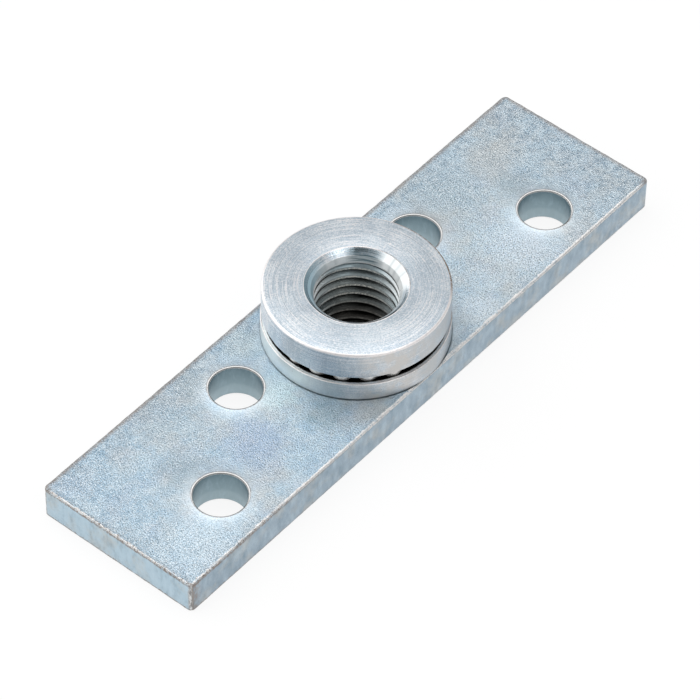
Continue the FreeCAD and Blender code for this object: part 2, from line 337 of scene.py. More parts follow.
@dataclass(frozen=True)
class RolledZinc:
    """Blue-passivated zinc on a rolled bar: grainy faces, smoother cut sides, and worn edges with painted highlights
    and painted shade.
    """

    half_length: float
    half_width: float
    thickness: float
    holes: tuple[Spot, ...]
    hole_radius: float
    race_radius: float
    cool: Colour = (0.42, 0.575, 0.705)
    pale: Colour = (0.60, 0.72, 0.80)
    warm: Colour = (0.59, 0.60, 0.59)
    lilac: Colour = (0.53, 0.58, 0.69)
    deep: Colour = (0.11, 0.19, 0.25)
    blotch: Colour = (0.13, 0.22, 0.31)
    spark_and_sheen: Colour = (0.93, 0.97, 0.99)
    sheared: Colour = (0.46, 0.595, 0.685)
    rolled: Colour = (0.325, 0.415, 0.49)
    beige: Colour = (0.52, 0.51, 0.47)
    drilled: Colour = (0.205, 0.29, 0.33)
    drilled_low: Colour = (0.32, 0.415, 0.455)
    bare: Colour = (1.0, 0.98, 0.96)
    burr: Colour = (0.26, 0.215, 0.19)
    scale: Colour = (0.31, 0.275, 0.255)
    lip: Colour = (0.13, 0.115, 0.105)
    crevice_shade: Colour = (0.05, 0.075, 0.085)
    shaded_lip_side: Direction = (-0.72, -0.69, 0.0)
    crevice_shade_side: Direction = (-0.30, -0.95, 0.0)
    stains: tuple[Stain, ...] = (
        Stain(-20.0, 1.0, 5.0, (0.66, 0.83, 0.88), 0.75),
        Stain(-18.0, -8.5, 5.0, (0.21, 0.28, 0.29), 0.34),
        Stain(-15.0, 12.5, 5.0, (0.62, 0.70, 0.70), 0.50),
        Stain(-42.0, 0.5, 6.5, (0.34, 0.42, 0.47), 0.55),
        Stain(-34.0, 12.0, 9.0, (0.38, 0.47, 0.51), 0.32),
        Stain(-27.0, 13.0, 5.0, (0.36, 0.45, 0.50), 0.45),
        Stain(-53.0, -11.0, 9.0, (0.70, 0.84, 0.94), 0.60),
        Stain(-30.0, -4.0, 8.0, (0.39, 0.49, 0.66), 0.60),
        Stain(46.0, 8.0, 7.0, (0.60, 0.59, 0.56), 0.55),
        Stain(33.0, -9.0, 9.0, (0.74, 0.85, 0.95), 0.60),
        Stain(34.0, 9.0, 10.0, (0.36, 0.44, 0.49), 0.35),
        Stain(43.0, 0.0, 5.5, (0.34, 0.43, 0.48), 0.55),
        Stain(17.0, -13.0, 5.0, (0.80, 0.88, 0.95), 0.50),
        Stain(23.5, -10.0, 4.5, (0.72, 0.86, 0.98), 0.30),
    )

    def place(self, s: Shader) -> BarPlace:
        """Works out where on the bar a point lies.

        Args:
            s: The material's tree.

        Returns:
            Its depth under the nearer face, its distances from the ends, the sides and the holes, the shares of
            the broad faces and of the far edges, and the two grains.
        """
        half = self.thickness / 2
        level = s.minus(half, s.apart(s.z, half))
        ends = s.minus(self.half_length, s.size_of(s.x))
        sides = s.minus(self.half_width, s.size_of(s.y))
        past = s.least(*(s.minus(s.polar(hole)[0], self.hole_radius) for hole in self.holes))
        far = s.most(s.remap(s.y, 14.0, 15.0), s.remap(s.x, 57.2, 58.4))
        return BarPlace(level, ends, sides, s.least(ends, sides), past, s.remap(level, 0.14, 0.02), far,
                        s.noise(4.0, 2.0, 0.62, distortion=0.4), s.noise(5.6, 2.0, 0.62, distortion=0.4))

    def faces(self, s: Shader, at: BarPlace) -> Value:
        """Colour of the two broad faces.

        Args:
            s: The material's tree.
            at: Where the point lies.

        Returns:
            The colour.
        """
        lighter = s.plus(s.noise(0.33, 4.0, 0.62, distortion=0.5), s.remap(s.x, 5.0, 30.0, (0.0, 0.16)))
        colour = s.lay(self.pale, self.cool, lighter, 0.36, 0.66, 0.85)
        colour = s.lay(self.warm, colour, s.noise(0.12, 4.0, 0.65), 0.46, 0.66, 0.65)
        colour = s.lay(self.lilac, colour, s.noise(0.19, 2.0, 0.5), 0.50, 0.64, 0.22)
        colour = self.stained(s, colour)

        from_race = s.remap(s.polar()[0], self.race_radius + 0.5, self.race_radius + 5.0, (0.35, 1.0))
        middle = s.most(s.remap(s.x, -40.0, -56.0, (0.80, 0.92)), s.remap(s.x, 0.0, 18.0, (0.80, 1.0)))
        calm = s.times(s.least(s.remap(at.past, 0.2, 5.0, (0.50, 1.0)), from_race),
                       s.remap(s.noise(0.10, 2.0, 0.5), 0.40, 0.60, (0.80, 1.08)), middle)
        colour = s.lay(self.deep, colour, at.grain, 0.49, 0.63, 0.72, calm)
        outskirts = s.most(s.remap(s.y, 8.0, 15.0, (0.0, 0.8)), s.remap(s.x, 40.0, 57.0, (0.0, 1.0)),
                           s.remap(s.x, -50.0, -58.0, (0.0, 0.45)))
        cluster = s.times(s.remap(s.noise(0.62, 4.0, 0.72), 0.45, 0.60), outskirts,
                          s.remap(at.grain, 0.40, 0.56, (0.30, 1.0)), 0.80)
        colour = s.blend(cluster, colour, self.blotch)
        colour = s.lay(self.spark_and_sheen, colour, at.fleck, 0.54, 0.66, 0.85, calm)
        # Painted highlight: a pale halo that fades outwards from each hole. The same pale colour also gives the bright
        # grain flecks above.
        halo_highlight = s.math("EXPONENT", s.times(at.past, -0.75))
        return s.blend(s.math("MULTIPLY", halo_highlight, 0.32, clamp=True), colour, self.spark_and_sheen)

    def stained(self, s: Shader, colour: Value) -> Value:
        """Lays the soft patches on the top face.

        Args:
            s: The material's tree.
            colour: Colour so far.

        Returns:
            The colour with the patches.
        """
        ragged = s.times(s.minus(s.noise(0.35, 4.0, 0.65), 0.5), 7.0)
        upper = s.remap(s.z, self.thickness * 0.4, self.thickness * 0.6)
        for stain in self.stains:
            spread = s.plus(s.polar((stain.x, stain.y))[0], ragged)
            share = s.remap(spread, stain.reach, stain.reach * 0.2, (0.0, stain.share), smooth=True)
            colour = s.blend(s.times(share, upper), colour, stain.colour)
        return colour

    def flanks(self, s: Shader, at: BarPlace) -> Value:
        """Colour of the sheared ends and the rolled sides, whose darker colour is partly painted shade.

        Args:
            s: The material's tree.
            at: Where the point lies.

        Returns:
            The colour.
        """
        # The long sides get a darker colour than the sheared ends, partly as painted shade.
        colour = s.lay(self.rolled, self.sheared, at.sides, 0.25, 0.10)
        colour = s.lay(self.beige, colour, s.noise(0.24, 4.0, 0.6), 0.48, 0.66, 0.50)
        streak = s.noise(1.0, 3.0, 0.6, at=s.stretched((0.8, 0.8, 0.35)))
        colour = s.lay(self.pale, colour, streak, 0.48, 0.70, 0.34)
        colour = s.lay(self.deep, colour, streak, 0.46, 0.30, 0.30)
        return s.lay(self.deep, colour, s.noise(1.7, 3.0, 0.7), 0.66, 0.74, 0.55)

    def walls(self, s: Shader) -> Value:
        """Colour of the drilled walls.

        Args:
            s: The material's tree.

        Returns:
            The colour.
        """
        streak = s.noise(1.0, 4.0, 0.65, at=s.stretched((1.3, 1.3, 0.45)), distortion=0.6)
        wavy = s.plus(s.z, s.times(s.minus(streak, 0.5), 1.6))
        low = s.plus(s.remap(wavy, self.thickness * 0.9, 1.6, (0.0, 0.55)), s.remap(wavy, 2.7, 2.1, (0.0, 0.40)))
        return s.lay(self.sheared, s.blend(low, self.drilled, self.drilled_low), streak, 0.48, 0.72, 0.26)

    def edges(self, s: Shader, at: BarPlace, colour: Value) -> tuple[Value, Value]:
        """Lays a painted highlight, bare metal, brown burr and dull scale along the bar's edges, with partly painted
        shade on the far ones.

        Args:
            s: The material's tree.
            at: Where the point lies.
            colour: Colour so far.

        Returns:
            The colour with its wear and painted highlight, and the share of rough bare metal.
        """
        coarse = s.minus(s.noise(1.2, 4.0, 0.7), 0.5)
        fine = s.noise(3.0, 3.0, 0.7)
        broken = s.noise(0.55, 4.0, 0.7)
        ragged = s.plus(at.nearest, coarse)

        depth = s.plus(at.level, s.times(coarse, 0.9))
        along = s.remap(s.x, -48.0, -15.0, (1.0, 0.18))
        brown = s.times(s.remap(depth, 0.66, 0.40), s.remap(at.nearest, 0.30, 0.06), along,
                        s.remap(fine, 0.40, 0.52, (0.15, 0.95)))
        colour = s.blend(brown, colour, self.burr)
        # Painted highlight: a bright broken line in the bare-metal colour along the near top edges, wider towards +X
        # and faint on the far edges.
        reach = s.minus(at.level, s.remap(s.x, -40.0, 0.0, (0.12, 0.30)))
        wide = s.minus(ragged, s.remap(at.sides, 1.0, 0.4, (0.0, 0.14)))
        bright = s.times(s.remap(wide, 0.46, 0.32), s.remap(reach, 0.14, 0.0),
                         s.remap(broken, 0.36, 0.50, (0.25, 1.0)), s.minus(1.0, s.times(at.far, 0.9)),
                         s.remap(fine, 0.36, 0.46, (0.15, 1.0)))
        colour = s.blend(bright, colour, self.bare)
        speck = s.times(s.remap(ragged, 0.60, 0.36), s.remap(at.level, 0.30, 0.20), along,
                        s.remap(fine, 0.54, 0.60, (0.0, 0.9)))
        colour = s.blend(speck, colour, self.burr)

        # Dark line in the scale colour on the far edges only, across from the painted highlight on the near ones:
        # partly scale, partly painted shade.
        dull = s.times(s.remap(s.plus(at.nearest, s.times(coarse, 0.6)), 1.15, 0.45), at.far,
                       s.times(s.remap(fine, 0.34, 0.56, (0.45, 0.95)), s.remap(at.level, 0.70, 0.25)), 0.85)
        colour = s.blend(dull, colour, self.scale)

        corner = s.times(s.remap(s.plus(s.most(at.ends, at.sides), s.times(coarse, 0.4)), 0.82, 0.50),
                         s.remap(s.x, -30.0, 30.0, (1.0, 0.25)))
        scar = s.noise(1.0, 3.0, 0.7, at=s.stretched((3.2, 3.2, 0.9)), distortion=0.5)
        colour = s.blend(s.times(corner, 0.75), colour, s.lay(self.bare, self.burr, scar, 0.46, 0.62))
        from_end = s.plus(s.x, s.times(coarse, 3.2))
        scrape = s.times(s.remap(from_end, 2.7 - self.half_length, 0.9 - self.half_length),
                         s.remap(at.sides, 0.24, 0.12), s.remap(scar, 0.44, 0.56, (0.15, 0.80)))
        return s.blend(scrape, colour, self.burr), s.most(bright, s.times(corner, 0.5))

    def rims(self, s: Shader, at: BarPlace, colour: Value) -> tuple[Value, Value]:
        """Painted highlight on the broken edge of each hole and painted shade on its front lip, a dull ring round it,
        and painted shade along the join at the race's foot.

        Args:
            s: The material's tree.
            at: Where the point lies.
            colour: Colour so far.

        Returns:
            The colour with its rims, and the share of rough bare metal.
        """
        fine = s.noise(3.0, 3.0, 0.7)
        # Painted shade on the front part of each hole's lip, in the lip colour; the rest of the rim keeps a painted
        # highlight in the bare-metal colour.
        lip = s.plus(*(s.times(s.remap(radius, 6.0, 5.9), s.dot(direction, self.shaded_lip_side))
                       for radius, direction in map(s.polar, self.holes)))
        past = s.minus(at.past, s.remap(lip, 0.30, -0.30, (0.0, 0.09)))
        rim = s.times(s.remap(at.past, 0.00, 0.02), s.remap(past, 0.26, 0.20), s.remap(fine, 0.30, 0.42, (0.75, 1.0)))
        ring = s.times(s.remap(past, 0.20, 0.26), s.remap(past, 0.46, 0.34), s.remap(fine, 0.36, 0.52, (0.20, 0.65)),
                       at.face)
        colour = s.blend(ring, colour, self.scale)
        colour = s.blend(rim, colour, s.lay(self.lip, self.bare, lip, 0.25, 0.60))

        radius, direction = s.polar()
        # Painted shade along the join at the race's foot, deeper towards the front.
        crevice_shade = s.times(s.remap(s.apart(radius, self.race_radius + 0.03), 0.24, 0.06),
                          s.remap(s.z, self.thickness - 0.3, self.thickness),
                          s.remap(s.dot(direction, self.crevice_shade_side), -0.2, 0.7, (0.30, 0.80)))
        return s.blend(crevice_shade, colour, self.crevice_shade), s.times(rim, s.remap(lip, 0.60, 0.25))

    def relief(self, s: Shader, at: BarPlace) -> Value:
        """Grain, soft unevenness, worn edges and the drawn-in skin round the holes.

        Args:
            s: The material's tree.
            at: Where the point lies.

        Returns:
            The height in millimetres.
        """
        grain = s.times(at.grain, 0.17, s.remap(at.face, 0.0, 1.0, (0.08, 1.0)), s.remap(at.past, 0.2, 3.0, (0.3, 1.0)))
        uneven = s.times(s.noise(0.45, 3.0, 0.55), s.remap(at.face, 0.0, 1.0, (0.05, 0.12)))
        worn = s.times(s.noise(1.4, 4.0, 0.7), s.remap(at.nearest, 0.9, 0.2, (0.0, 0.14)))
        drawn_in = s.times(s.math("EXPONENT", s.times(at.past, -0.6)), 0.42, at.face)
        return s.plus(grain, uneven, worn, drawn_in)

    def material(self) -> bpy.types.Material:
        """Makes the bar's material.

        Returns:
            The material.
        """
        s = Shader("rolled_zinc")
        at = self.place(s)
        colour = s.blend(at.face, self.flanks(s, at), self.faces(s, at))
        colour = s.lay(self.walls(s), colour, at.past, 0.03, 0.0)
        colour, edge_bare = self.edges(s, at, colour)
        colour, rim_bare = self.rims(s, at, colour)
        roughness = s.remap(s.noise(0.33, 3.0, 0.6), 0.3, 0.7, (0.36, 0.44))
        metallic = s.minus(1.0, s.times(s.most(edge_bare, rim_bare), 0.85))
        return s.metal(colour, roughness, s.bump(self.relief(s, at)), metallic=metallic)


@dataclass(frozen=True)
class TurnPlace:
    """Where a point of a turned piece lies, with the marks, the grain and the chatter of the tool there."""

    radius: Value
    direction: Value
    marks: Value
    grain: Value
    chatter: Value
    inner: Value


@dataclass(frozen=True)
class TurnedZinc:
    """Zinc over fine turning marks, on the rings and the collar."""

    collar_top: float
    collar_radius: float
    race_foot: float
    race_top: float
    race_radius: float
    flange_foot: float
    mouth_radius: float
    lead_radius: float
    lead_top: float
    thread_top: float
    thread_foot: float
    thread_start: float
    pitch: float
    cool: Colour = (0.54, 0.63, 0.71)
    pale: Colour = (0.66, 0.735, 0.79)
    warm: Colour = (0.62, 0.60, 0.575)
    trace: Colour = (0.38, 0.45, 0.51)
    bare: Colour = (0.95, 0.91, 0.90)
    rust: Colour = (0.26, 0.19, 0.145)
    oil_and_shade: Colour = (0.010, 0.009, 0.008)
    upper_turns: Colour = (0.48, 0.60, 0.65)
    lit_turns: Colour = (0.60, 0.72, 0.76)
    shaded_middle_turns: Colour = (0.18, 0.205, 0.205)
    shaded_lower_turns: Colour = (0.026, 0.025, 0.023)
    crumbs_and_glint: Colour = (0.80, 0.78, 0.71)
    satin: Colour = (0.95, 0.98, 0.98)
    lit: Colour = (0.78, 0.82, 0.80)
    teal_shade: Colour = (0.30, 0.46, 0.54)
    shade_and_chatter: Colour = (0.12, 0.19, 0.22)
    crevice_shade: Colour = (0.05, 0.075, 0.085)
    warm_side: Direction = (-0.05, -1.0, 0.0)
    dim_side: Direction = (0.64, -0.77, 0.0)
    lit_side: Direction = (-0.97, 0.24, 0.0)
    shaded_sweep_side: Direction = (0.87, 0.49, 0.0)
    painted_light_side: Direction = (0.94, -0.34, 0.0)
    shaded_back_side: Direction = (0.775, 0.632, 0.0)

    def place(self, s: Shader) -> TurnPlace:
        """Works out where on a turned piece a point lies.

        Args:
            s: The material's tree.

        Returns:
            Its radius and direction, the tool's marks there, and the share of the mouth and the bore.
        """
        radius, direction = s.polar()
        turned = s.add("ShaderNodeCombineXYZ", {0: s.times(radius, 6.0), 1: s.times(s.z, 6.0)}).outputs[0]
        arc = s.vector("MULTIPLY", direction, (1.7, 1.7, 0.0))
        marks = s.noise(1.0, 3.0, 0.6, at=s.vector("ADD", turned, arc))
        chatter = s.noise(1.0, 2.0, 0.5, at=s.vector("MULTIPLY", direction, (6.0, 6.0, 0.0)))
        inner = s.remap(radius, self.mouth_radius + 0.05, self.mouth_radius - 0.05)
        return TurnPlace(radius, direction, marks, s.noise(4.2, 2.0, 0.62), chatter, inner)

    def surface(self, s: Shader, at: TurnPlace) -> Value:
        """Colour of the open turned faces.

        Args:
            s: The material's tree.
            at: Where the point lies.

        Returns:
            The colour.
        """
        colour = s.lay(self.pale, self.cool, s.noise(0.22, 4.0, 0.6), 0.36, 0.66)
        colour = s.lay(self.trace, colour, at.marks, 0.50, 0.64, 0.85)
        colour = s.lay(self.bare, colour, at.marks, 0.48, 0.34, 0.70)
        colour = s.lay(self.trace, colour, at.grain, 0.52, 0.64, 0.52)
        colour = s.lay(self.bare, colour, at.grain, 0.47, 0.36, 0.52)
        colour = s.lay(self.trace, colour, s.z, self.race_top + 0.3, self.race_top - 0.1, 0.12)

        side = s.remap(s.z, self.collar_top - 0.05, self.collar_top - 0.45)
        smear = s.noise(1.0, 4.0, 0.62, at=s.vector("ADD", s.vector("MULTIPLY", at.direction, (5.0, 5.0, 0.0)),
                                                    s.stretched((0.0, 0.0, 0.10))))
        colour = s.lay(self.trace, colour, smear, 0.52, 0.66, 0.45, side)
        colour = s.lay(self.bare, colour, smear, 0.46, 0.34, 0.35, side)
        race = s.remap(s.z, self.race_top + 0.2, self.race_top)
        lit = s.times(s.remap(s.dot(at.direction, self.lit_side), 0.55, 0.95), race, 0.75)
        colour = s.blend(lit, colour, self.lit)
        patch = s.remap(s.noise(0.35, 4.0, 0.65), 0.30, 0.55)
        tint = s.times(s.remap(s.dot(at.direction, self.warm_side), 0.66, 0.80), side, patch, 0.85)
        colour = s.blend(tint, colour, self.warm)
        colour = s.lay(self.trace, colour, s.dot(at.direction, self.dim_side), 0.50, 0.95, 0.60, side)
        speck = s.times(s.remap(s.noise(1.9, 4.0, 0.75), 0.66, 0.72), side, 0.6)
        return s.blend(speck, colour, self.rust)

    def edges(self, s: Shader, at: TurnPlace, colour: Value) -> Value:
        """Rims with a painted highlight, partly rust and painted shade on the right, painted shade along the race's
        foot, and near-black painted shade, partly lubricant, round the balls.

        Args:
            s: The material's tree.
            at: Where the point lies.
            colour: Colour so far.

        Returns:
            The colour with its edges.
        """
        fine = s.noise(2.4, 3.0, 0.7)
        radius = at.radius
        # Painted highlight in the bare-metal colour on the rims of the collar's top and mouth, the lead and the race's
        # top edge, partly bare metal.
        top_rim = s.times(s.remap(radius, self.collar_radius - 0.40, self.collar_radius - 0.30),
                          s.remap(s.z, self.collar_top - 0.52, self.collar_top - 0.36))
        from_top = s.apart(s.z, self.race_top)
        race_rim = s.times(s.remap(radius, self.race_radius - 0.22, self.race_radius - 0.16),
                           s.remap(from_top, 0.24, 0.16))
        mouth_rim = s.times(s.remap(s.apart(radius, self.mouth_radius), 0.14, 0.06),
                            s.remap(s.z, self.collar_top - 0.15, self.collar_top - 0.08))
        lead_rim = s.times(s.remap(s.apart(radius, self.lead_radius), 0.09, 0.05),
                           s.remap(s.apart(s.z, self.lead_top), 0.12, 0.06, (0.0, 0.6)))
        rim = s.most(top_rim, race_rim, mouth_rim, lead_rim)
        # On the right-hand side the rims turn brown instead: partly rust, partly painted shade.
        rim_rust_and_shade = s.times(s.remap(s.dot(at.direction, self.painted_light_side), 0.76, 0.90),
                         s.remap(fine, 0.36, 0.50, (0.4, 1.0)))
        colour = s.blend(s.times(rim, s.remap(fine, 0.32, 0.50, (0.45, 0.95))), colour,
                         s.blend(rim_rust_and_shade, self.bare, self.rust))

        brown = s.times(s.remap(from_top, 0.05, 0.02), s.remap(radius, self.race_radius - 0.20, self.race_radius - 0.28),
                        s.remap(fine, 0.35, 0.55, (0.5, 0.95)))
        colour = s.blend(brown, colour, self.rust)
        # Near-black painted shade, partly lubricant, on the race's land and the flange's underside round the balls.
        inner = s.remap(s.plus(radius, s.times(fine, 0.2)), self.race_radius - 0.40, self.race_radius - 0.52)
        between = s.times(s.remap(s.z, self.race_top - 1.6, self.race_top - 1.4),
                          s.remap(s.z, self.flange_foot + 1.6, self.flange_foot + 1.4))
        colour = s.blend(s.times(inner, between), colour, self.oil_and_shade)
        # Painted shade along the foot of the race, where it meets the bar.
        foot = s.times(s.remap(s.z, self.race_foot + 0.24, self.race_foot + 0.06),
                       s.remap(radius, self.race_radius - 0.5, self.race_radius - 0.3), 0.75)
        return s.blend(foot, colour, self.crevice_shade)

    def threaded(self, s: Shader, at: TurnPlace) -> Value:
        """Share of the threaded wall."""
        return s.remap(at.radius, self.mouth_radius - 0.62, self.mouth_radius - 0.68)

    def bore(self, s: Shader, at: TurnPlace, colour: Value) -> Value:
        """Turns of the thread: painted shade, partly lubricant, in the roots; light specks and a painted highlight on
        the crests; painted shade that deepens with depth; and painted light on the sides.

        Args:
            s: The material's tree.
            at: Where the point lies.
            colour: Colour so far.

        Returns:
            The colour with the bore's.
        """
        inside = s.times(self.threaded(s, at), s.remap(s.z, self.thread_top + 0.1, self.thread_top - 0.3),
                         s.remap(s.z, self.thread_foot + 0.02, self.thread_foot + 0.12))
        turns = s.share(s.minus(s.z, self.thread_foot), self.pitch)
        angle = s.share(s.math("ARCTAN2", s.y, s.x), math.tau)
        below = s.math("FRACT", s.minus(s.minus(angle, turns), 0.5 - self.thread_start))
        # Painted shade: the turns darken with depth in the bore.
        wall = s.lay(self.shaded_middle_turns, self.upper_turns, s.z, self.thread_top, self.race_top)
        wall = s.lay(self.shaded_lower_turns, wall, s.z, self.race_top, 3.5)
        # Painted light: away from the back of the bore the turns are lighter, and whiter in the satin colour higher up.
        lit_share = s.times(s.remap(s.dot(at.direction, self.shaded_back_side), 0.92, 0.35),
                      s.remap(s.z, 4.0, 11.0, (0.10, 0.70)))
        wall = s.blend(lit_share, wall, self.lit_turns)
        wall = s.blend(s.times(lit_share, s.remap(s.z, 8.5, 13.0, (0.0, 1.3))), wall, self.satin)
        # Painted shade on each flank towards its root, in noisy patches, weaker on the lit sides.
        film = s.remap(s.noise(1.3, 4.0, 0.7), 0.30, 0.70, (0.72, 1.0))
        shade = s.times(film, s.remap(below, 0.33, 0.12, (0.82, 1.0)))
        back_shade = s.remap(lit_share, 0.0, 0.7, (1.0, 0.2))
        wall = s.blend(back_shade, wall, shade, "MULTIPLY")
        # Light specks on the crests, partly a painted highlight, fading with depth and on the lit sides.
        crest = s.times(s.remap(below, 0.40, 0.48), s.remap(s.z, 5.0, self.thread_top, (0.08, 0.90)),
                        s.remap(s.noise(3.2, 3.0, 0.7), 0.42, 0.58), back_shade)
        wall = s.blend(crest, wall, self.crumbs_and_glint)
        # Near-black painted shade, partly lubricant, in the roots and on the lower part of each crest.
        spread = s.times(lit_share, 0.20)
        root = s.times(s.most(s.remap(s.minus(below, spread), 0.135, 0.095),
                              s.remap(s.plus(below, spread), 0.62, 0.64)),
                       s.remap(s.z, self.thread_top - 0.3, self.thread_top - 0.9))
        return s.blend(inside, colour, s.blend(root, wall, self.oil_and_shade))

    def mouth(self, s: Shader, at: TurnPlace, colour: Value) -> tuple[Value, Value]:
        """Pale lead-in cone, and the painted shade and painted highlight of the mouth, with darker chatter streaks.

        Args:
            s: The material's tree.
            at: Where the point lies.
            colour: Colour so far.

        Returns:
            The colour with the mouth's, and the share of rough bare metal in the bore.
        """
        lead = s.times(s.remap(at.radius, self.lead_radius + 0.08, self.lead_radius - 0.02),
                       s.remap(s.z, self.thread_top - 0.5, self.thread_top - 0.1))
        colour = s.blend(s.times(lead, 0.7), colour, self.satin)
        # Painted shade: blue-green on the left-hand part of the mouth.
        mouth = s.times(at.inner, s.remap(s.z, self.thread_top - 0.15, self.thread_top + 0.05))
        tint = s.remap(s.dot(at.direction, self.dim_side), -0.97, -0.66, (0.85, 0.12))
        colour = s.blend(s.times(mouth, tint), colour, self.teal_shade)
        # Painted highlight: the right-hand part of the mouth whitens, in the satin colour.
        lit_share = s.times(mouth, s.remap(s.dot(at.direction, self.painted_light_side), 0.79, 0.93, (0.0, 0.9)))
        colour = s.blend(lit_share, colour, self.satin)
        # Painted shade: a dark band on the far side of the mouth, broken by the turning marks, joined by darker chatter
        # streaks all round.
        shade_sweep = s.times(s.remap(s.dot(at.direction, self.shaded_sweep_side), 0.90, 0.98),
                        s.remap(s.z, self.collar_top - 0.05, self.collar_top - 0.30),
                        s.remap(at.marks, 0.56, 0.44, (0.35, 1.0)))
        shade_sweep = s.most(shade_sweep, s.remap(at.chatter, 0.50, 0.72, (0.0, 0.40), smooth=True))
        colour = s.blend(s.times(mouth, shade_sweep), colour, self.shade_and_chatter)
        turns = s.times(self.threaded(s, at), s.remap(s.z, 6.0, self.thread_top - 1.5),
                        s.remap(s.dot(at.direction, self.shaded_back_side), 0.92, 0.35, (0.40, 0.85)))
        return colour, s.most(turns, s.times(lead, 0.6), s.times(lit_share, 0.9))

    def relief(self, s: Shader, at: TurnPlace) -> Value:
        """Turning marks, grain, soft unevenness and the tool's chatter in the mouth, in millimetres."""
        return s.plus(s.times(at.marks, 0.018), s.times(at.grain, 0.02), s.times(s.noise(0.30, 2.0, 0.5), 0.05),
                      s.times(at.chatter, at.inner, 0.04))

    def across(self, s: Shader, at: TurnPlace) -> Value:
        """Direction across the turning marks, in which the gloss is drawn out.

        Args:
            s: The material's tree.
            at: Where the point lies.

        Returns:
            The direction.
        """
        round_way = s.vector("CROSS_PRODUCT", (0.0, 0.0, 1.0), at.direction)
        world_way = s.add("ShaderNodeVectorTransform", {0: round_way}, vector_type="VECTOR",
                          convert_from="OBJECT", convert_to="WORLD").outputs[0]
        return s.vector("CROSS_PRODUCT", world_way, s.add("ShaderNodeNewGeometry").outputs["Normal"])

    def roughness(self, s: Shader, at: TurnPlace) -> Value:
        """Satin turned faces, a glossier mouth and duller rims.

        Args:
            s: The material's tree.
            at: Where the point lies.

        Returns:
            The roughness.
        """
        rough = s.remap(s.noise(0.22, 3.0, 0.6), 0.3, 0.7, (0.31, 0.39))
        rim = s.remap(at.radius, self.collar_radius - 0.46, self.collar_radius - 0.36)
        return s.plus(s.minus(rough, s.times(at.inner, 0.10)), s.times(rim, 0.10))

    def material(self) -> bpy.types.Material:
        """Makes the material of the turned pieces.

        Returns:
            The material.
        """
        s = Shader("turned_zinc")
        at = self.place(s)
        colour = self.bore(s, at, self.edges(s, at, self.surface(s, at)))
        colour, rough = self.mouth(s, at, colour)
        return s.metal(colour, self.roughness(s, at), s.bump(self.relief(s, at)), 0.6, self.across(s, at),
                       s.minus(1.0, rough))


@dataclass(frozen=True)
class PressedZinc:
    """Plain satin zinc on the pressed washer."""

    cool: Colour = (0.46, 0.54, 0.60)
    pale: Colour = (0.60, 0.67, 0.71)
    deep: Colour = (0.20, 0.26, 0.30)

    def material(self) -> bpy.types.Material:
        """Makes the washer's material.

        Returns:
            The material.
        """
        s = Shader("pressed_zinc")
        grain = s.noise(3.0, 3.0, 0.66)
        colour = s.lay(self.pale, self.cool, s.noise(0.3, 4.0, 0.6), 0.36, 0.66)
        colour = s.lay(self.deep, colour, grain, 0.54, 0.68, 0.5)
        return s.metal(colour, s.remap(grain, 0.3, 0.7, (0.34, 0.44)), s.bump(s.times(grain, 0.05)))


@dataclass(frozen=True)
class BallSteel:
    """Bare, oiled bearing steel."""

    bright: Colour = (0.96, 0.95, 0.93)
    film: Colour = (0.40, 0.35, 0.29)
    metallic: float = 0.55

    def material(self) -> bpy.types.Material:
        """Makes the balls' material.

        Returns:
            The material.
        """
        s = Shader("ball_steel")
        film = s.noise(0.8, 3.0, 0.6)
        colour = s.lay(self.film, self.bright, film, 0.5, 0.75, 0.35)
        return s.metal(colour, s.remap(film, 0.3, 0.7, (0.16, 0.26)), s.bump(s.times(film, 0.004)),
                       metallic=self.metallic)


def in_scene(name: str, data: Optional[bpy.types.ID]) -> bpy.types.Object:
    """New object in the scene, at the origin.

    Args:
        name: Its name.
        data: Mesh, lamp or camera that it holds.

    Returns:
        The object.
    """
    obj = bpy.data.objects.new(name, data)
    bpy.context.scene.collection.objects.link(obj)
    return obj


